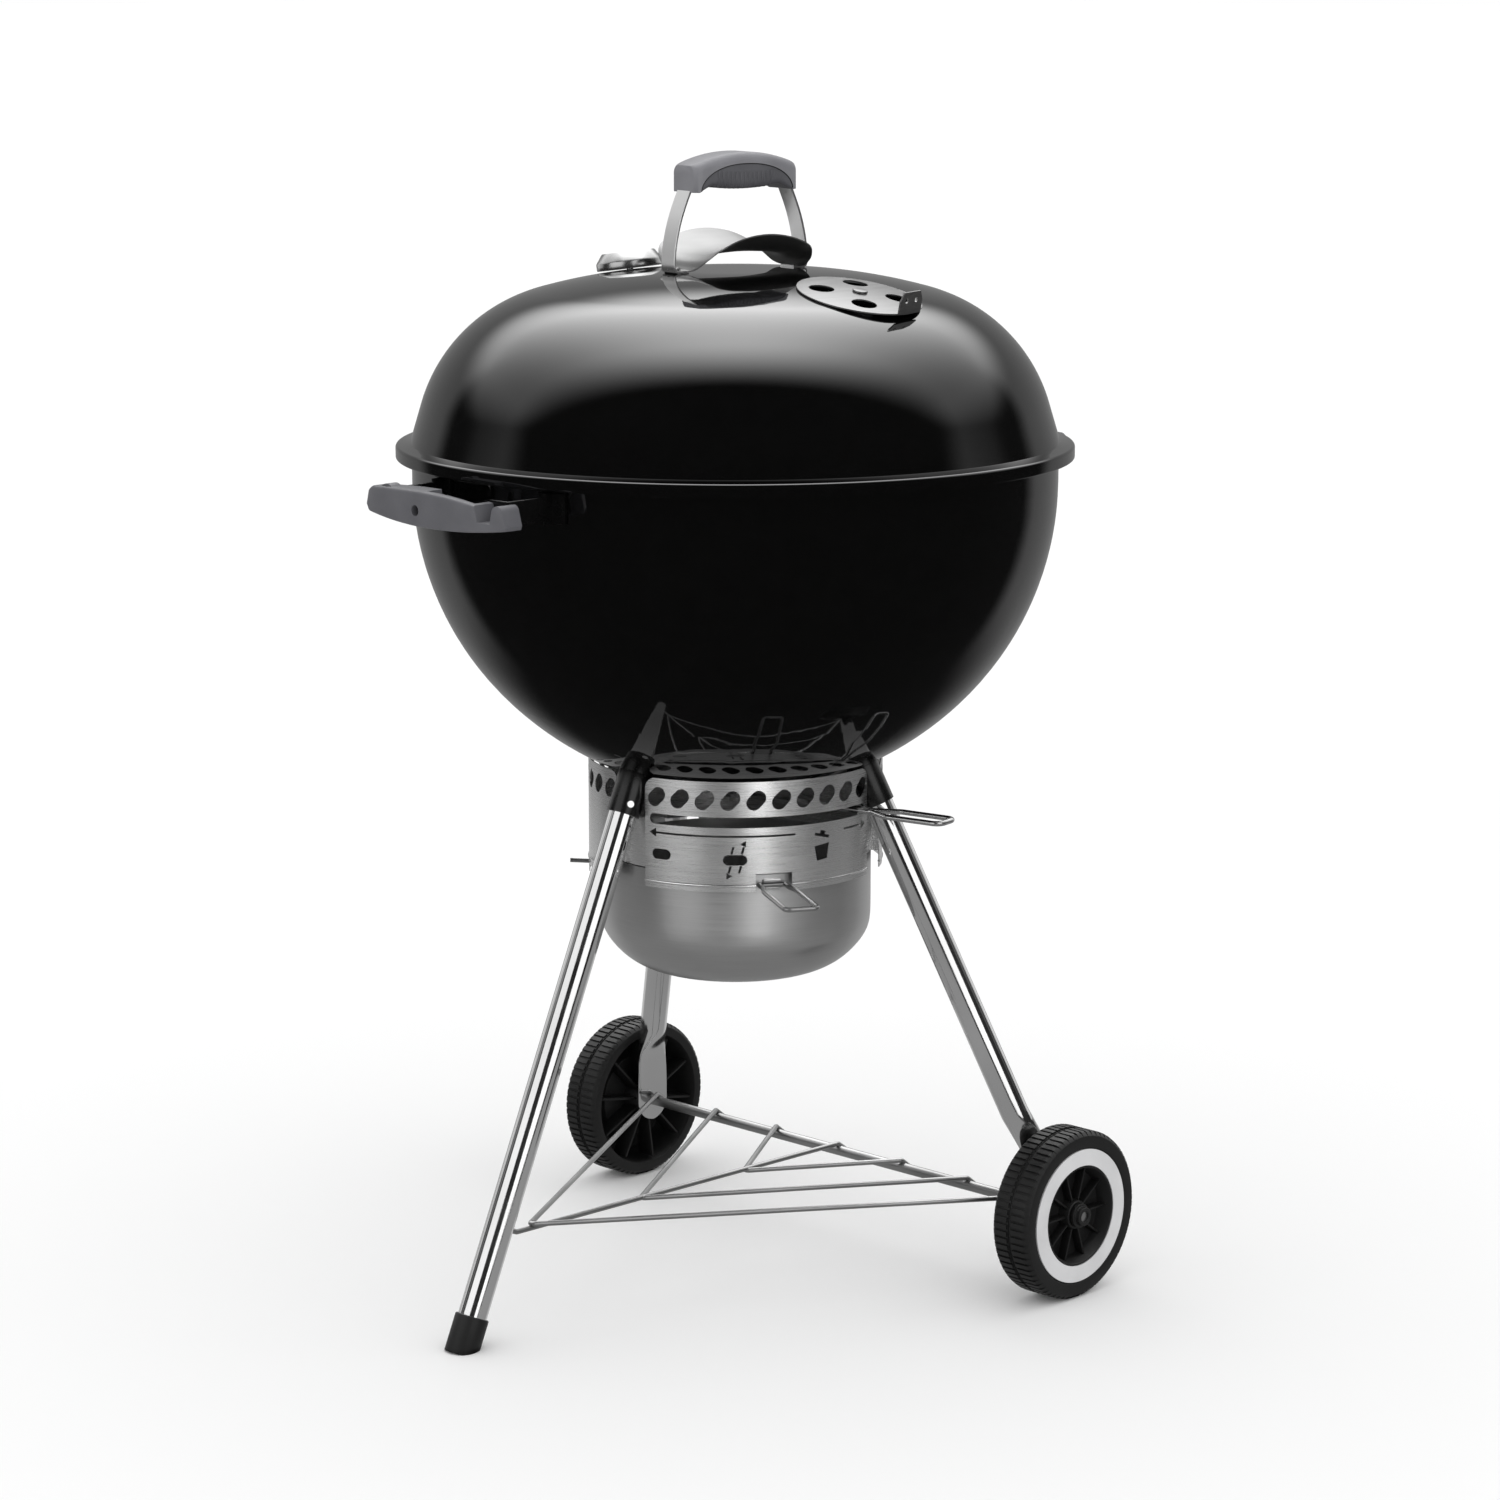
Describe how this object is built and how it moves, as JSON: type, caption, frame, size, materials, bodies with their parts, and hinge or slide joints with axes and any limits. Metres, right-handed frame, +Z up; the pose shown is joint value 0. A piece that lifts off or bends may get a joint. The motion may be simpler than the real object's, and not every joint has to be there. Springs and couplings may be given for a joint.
{
  "type": "kettle charcoal grill",
  "caption": "Kettle charcoal grill: round enamelled bowl and domed lid on a tripod with wheels, wire shelf, ash bucket and swinging vent lever.",
  "frame": {"origin": "on the floor under the kettle's axis", "axes": "+Z up along the kettle's axis; X along the wheel axle; the wheels are on the +Y side and the single leg on the -Y side"},
  "size_m": [0.5967, 0.708, 1.0076],
  "materials": {
    "enamel": "gloss black porcelain enamel",
    "black_steel": "semi-gloss black enamel",
    "chrome": "bright plated",
    "zinc_wire": "satin grey plated wire",
    "plated_steel": "bright plated wire rod",
    "stainless": "brushed",
    "aluminium": "satin spun",
    "aluminium_disc": "fine brushed",
    "grey_plastic": "satin grey nylon",
    "black_plastic": "satin black",
    "ring_plastic": "pale grey",
    "dial_face": "printed pale dial",
    "needle": "red",
    "glass": "clear"
  },
  "bodies": {
    "stand": {"bowl": "enamel", "damper_bushing": "stainless", "grate_tabs": "black_steel", "leg_sockets": "black_steel", "leg_buttons": "chrome", "front_leg": "chrome", "rear_legs": "chrome", "foot_cap": "black_plastic", "axle": "zinc_wire", "axle_caps": "black_plastic", "axle_spacers": "black_plastic", "wire_shelf": "zinc_wire", "ash_ring": "stainless", "ring_pins": "zinc_wire", "ring_hangers": "stainless", "side_grips": "grey_plastic", "side_brackets": "black_steel", "side_handle_screws": "plated_steel"},
    "lid": {"lid_shell": "enamel", "damper_rivet": "aluminium_disc", "gauge_bezel": "chrome", "gauge_dial": "dial_face", "gauge_glass": "glass", "gauge_stem": "stainless", "lid_handle_strap": "stainless", "lid_handle_grip": "grey_plastic", "lid_handle_insert": "grey_plastic", "heat_shield": "stainless", "lid_handle_bolts": "plated_steel", "lid_hook": "plated_steel"},
    "damper": {"damper_disc": "aluminium_disc"},
    "needle": {"gauge_pointer": "needle"},
    "left_wheel": {"wheel_left": "black_plastic", "wheel_left_ring": "ring_plastic"},
    "right_wheel": {"wheel_right": "black_plastic", "wheel_right_ring": "ring_plastic"},
    "sweeper": {"sweeper_blades": "stainless", "sweeper_shaft": "stainless", "sweeper_lever": "plated_steel"},
    "bucket": {"ash_bucket": "aluminium", "bucket_hinge": "stainless"},
    "bail": {"bucket_handle": "zinc_wire"},
    "upper_grate": {"cooking_grate": "plated_steel"},
    "lower_grate": {"charcoal_grate": "zinc_wire"}
  },
  "joints": [
    {"name": "lid_lift", "type": "slide", "parent": "stand", "child": "lid", "axis": [0, 0, 1], "range_m": [0, 0.35]},
    {"name": "damper_turn", "type": "hinge", "parent": "lid", "child": "damper", "pos_m": [0.15479, -0.00811, 0.89269], "axis": [0.2254, -0.0118, 0.9742], "range_deg": [0, 45]},
    {"name": "needle_turn", "type": "hinge", "parent": "lid", "child": "needle", "pos_m": [-0.11487, -0.01614, 0.90007], "axis": [-0.1445, -0.0203, 0.9893], "range_deg": [-210, 60]},
    {"name": "left_wheel_spin", "type": "hinge", "parent": "stand", "child": "left_wheel", "pos_m": [-0.273, 0.138, 0.0762], "axis": [1, 0, 0], "continuous": true},
    {"name": "right_wheel_spin", "type": "hinge", "parent": "stand", "child": "right_wheel", "pos_m": [0.273, 0.138, 0.0762], "axis": [1, 0, 0], "continuous": true},
    {"name": "sweeper_turn", "type": "hinge", "parent": "stand", "child": "sweeper", "pos_m": [0, 0, 0.44], "axis": [0, 0, 1], "range_deg": [-84, 0]},
    {"name": "bucket_drop", "type": "slide", "parent": "stand", "child": "bucket", "axis": [0, 0, 1], "range_m": [-0.11, 0]},
    {"name": "bail_fold", "type": "hinge", "parent": "bucket", "child": "bail", "pos_m": [0.10732, -0.06448, 0.3815], "axis": [0.515, 0.8572, 0], "range_deg": [0, 78]},
    {"name": "upper_grate_lift", "type": "slide", "parent": "stand", "child": "upper_grate", "axis": [0, 0, 1], "range_m": [0, 0.035]},
    {"name": "lower_grate_lift", "type": "slide", "parent": "stand", "child": "lower_grate", "axis": [0, 0, 1], "range_m": [0, 0.1]}
  ]
}
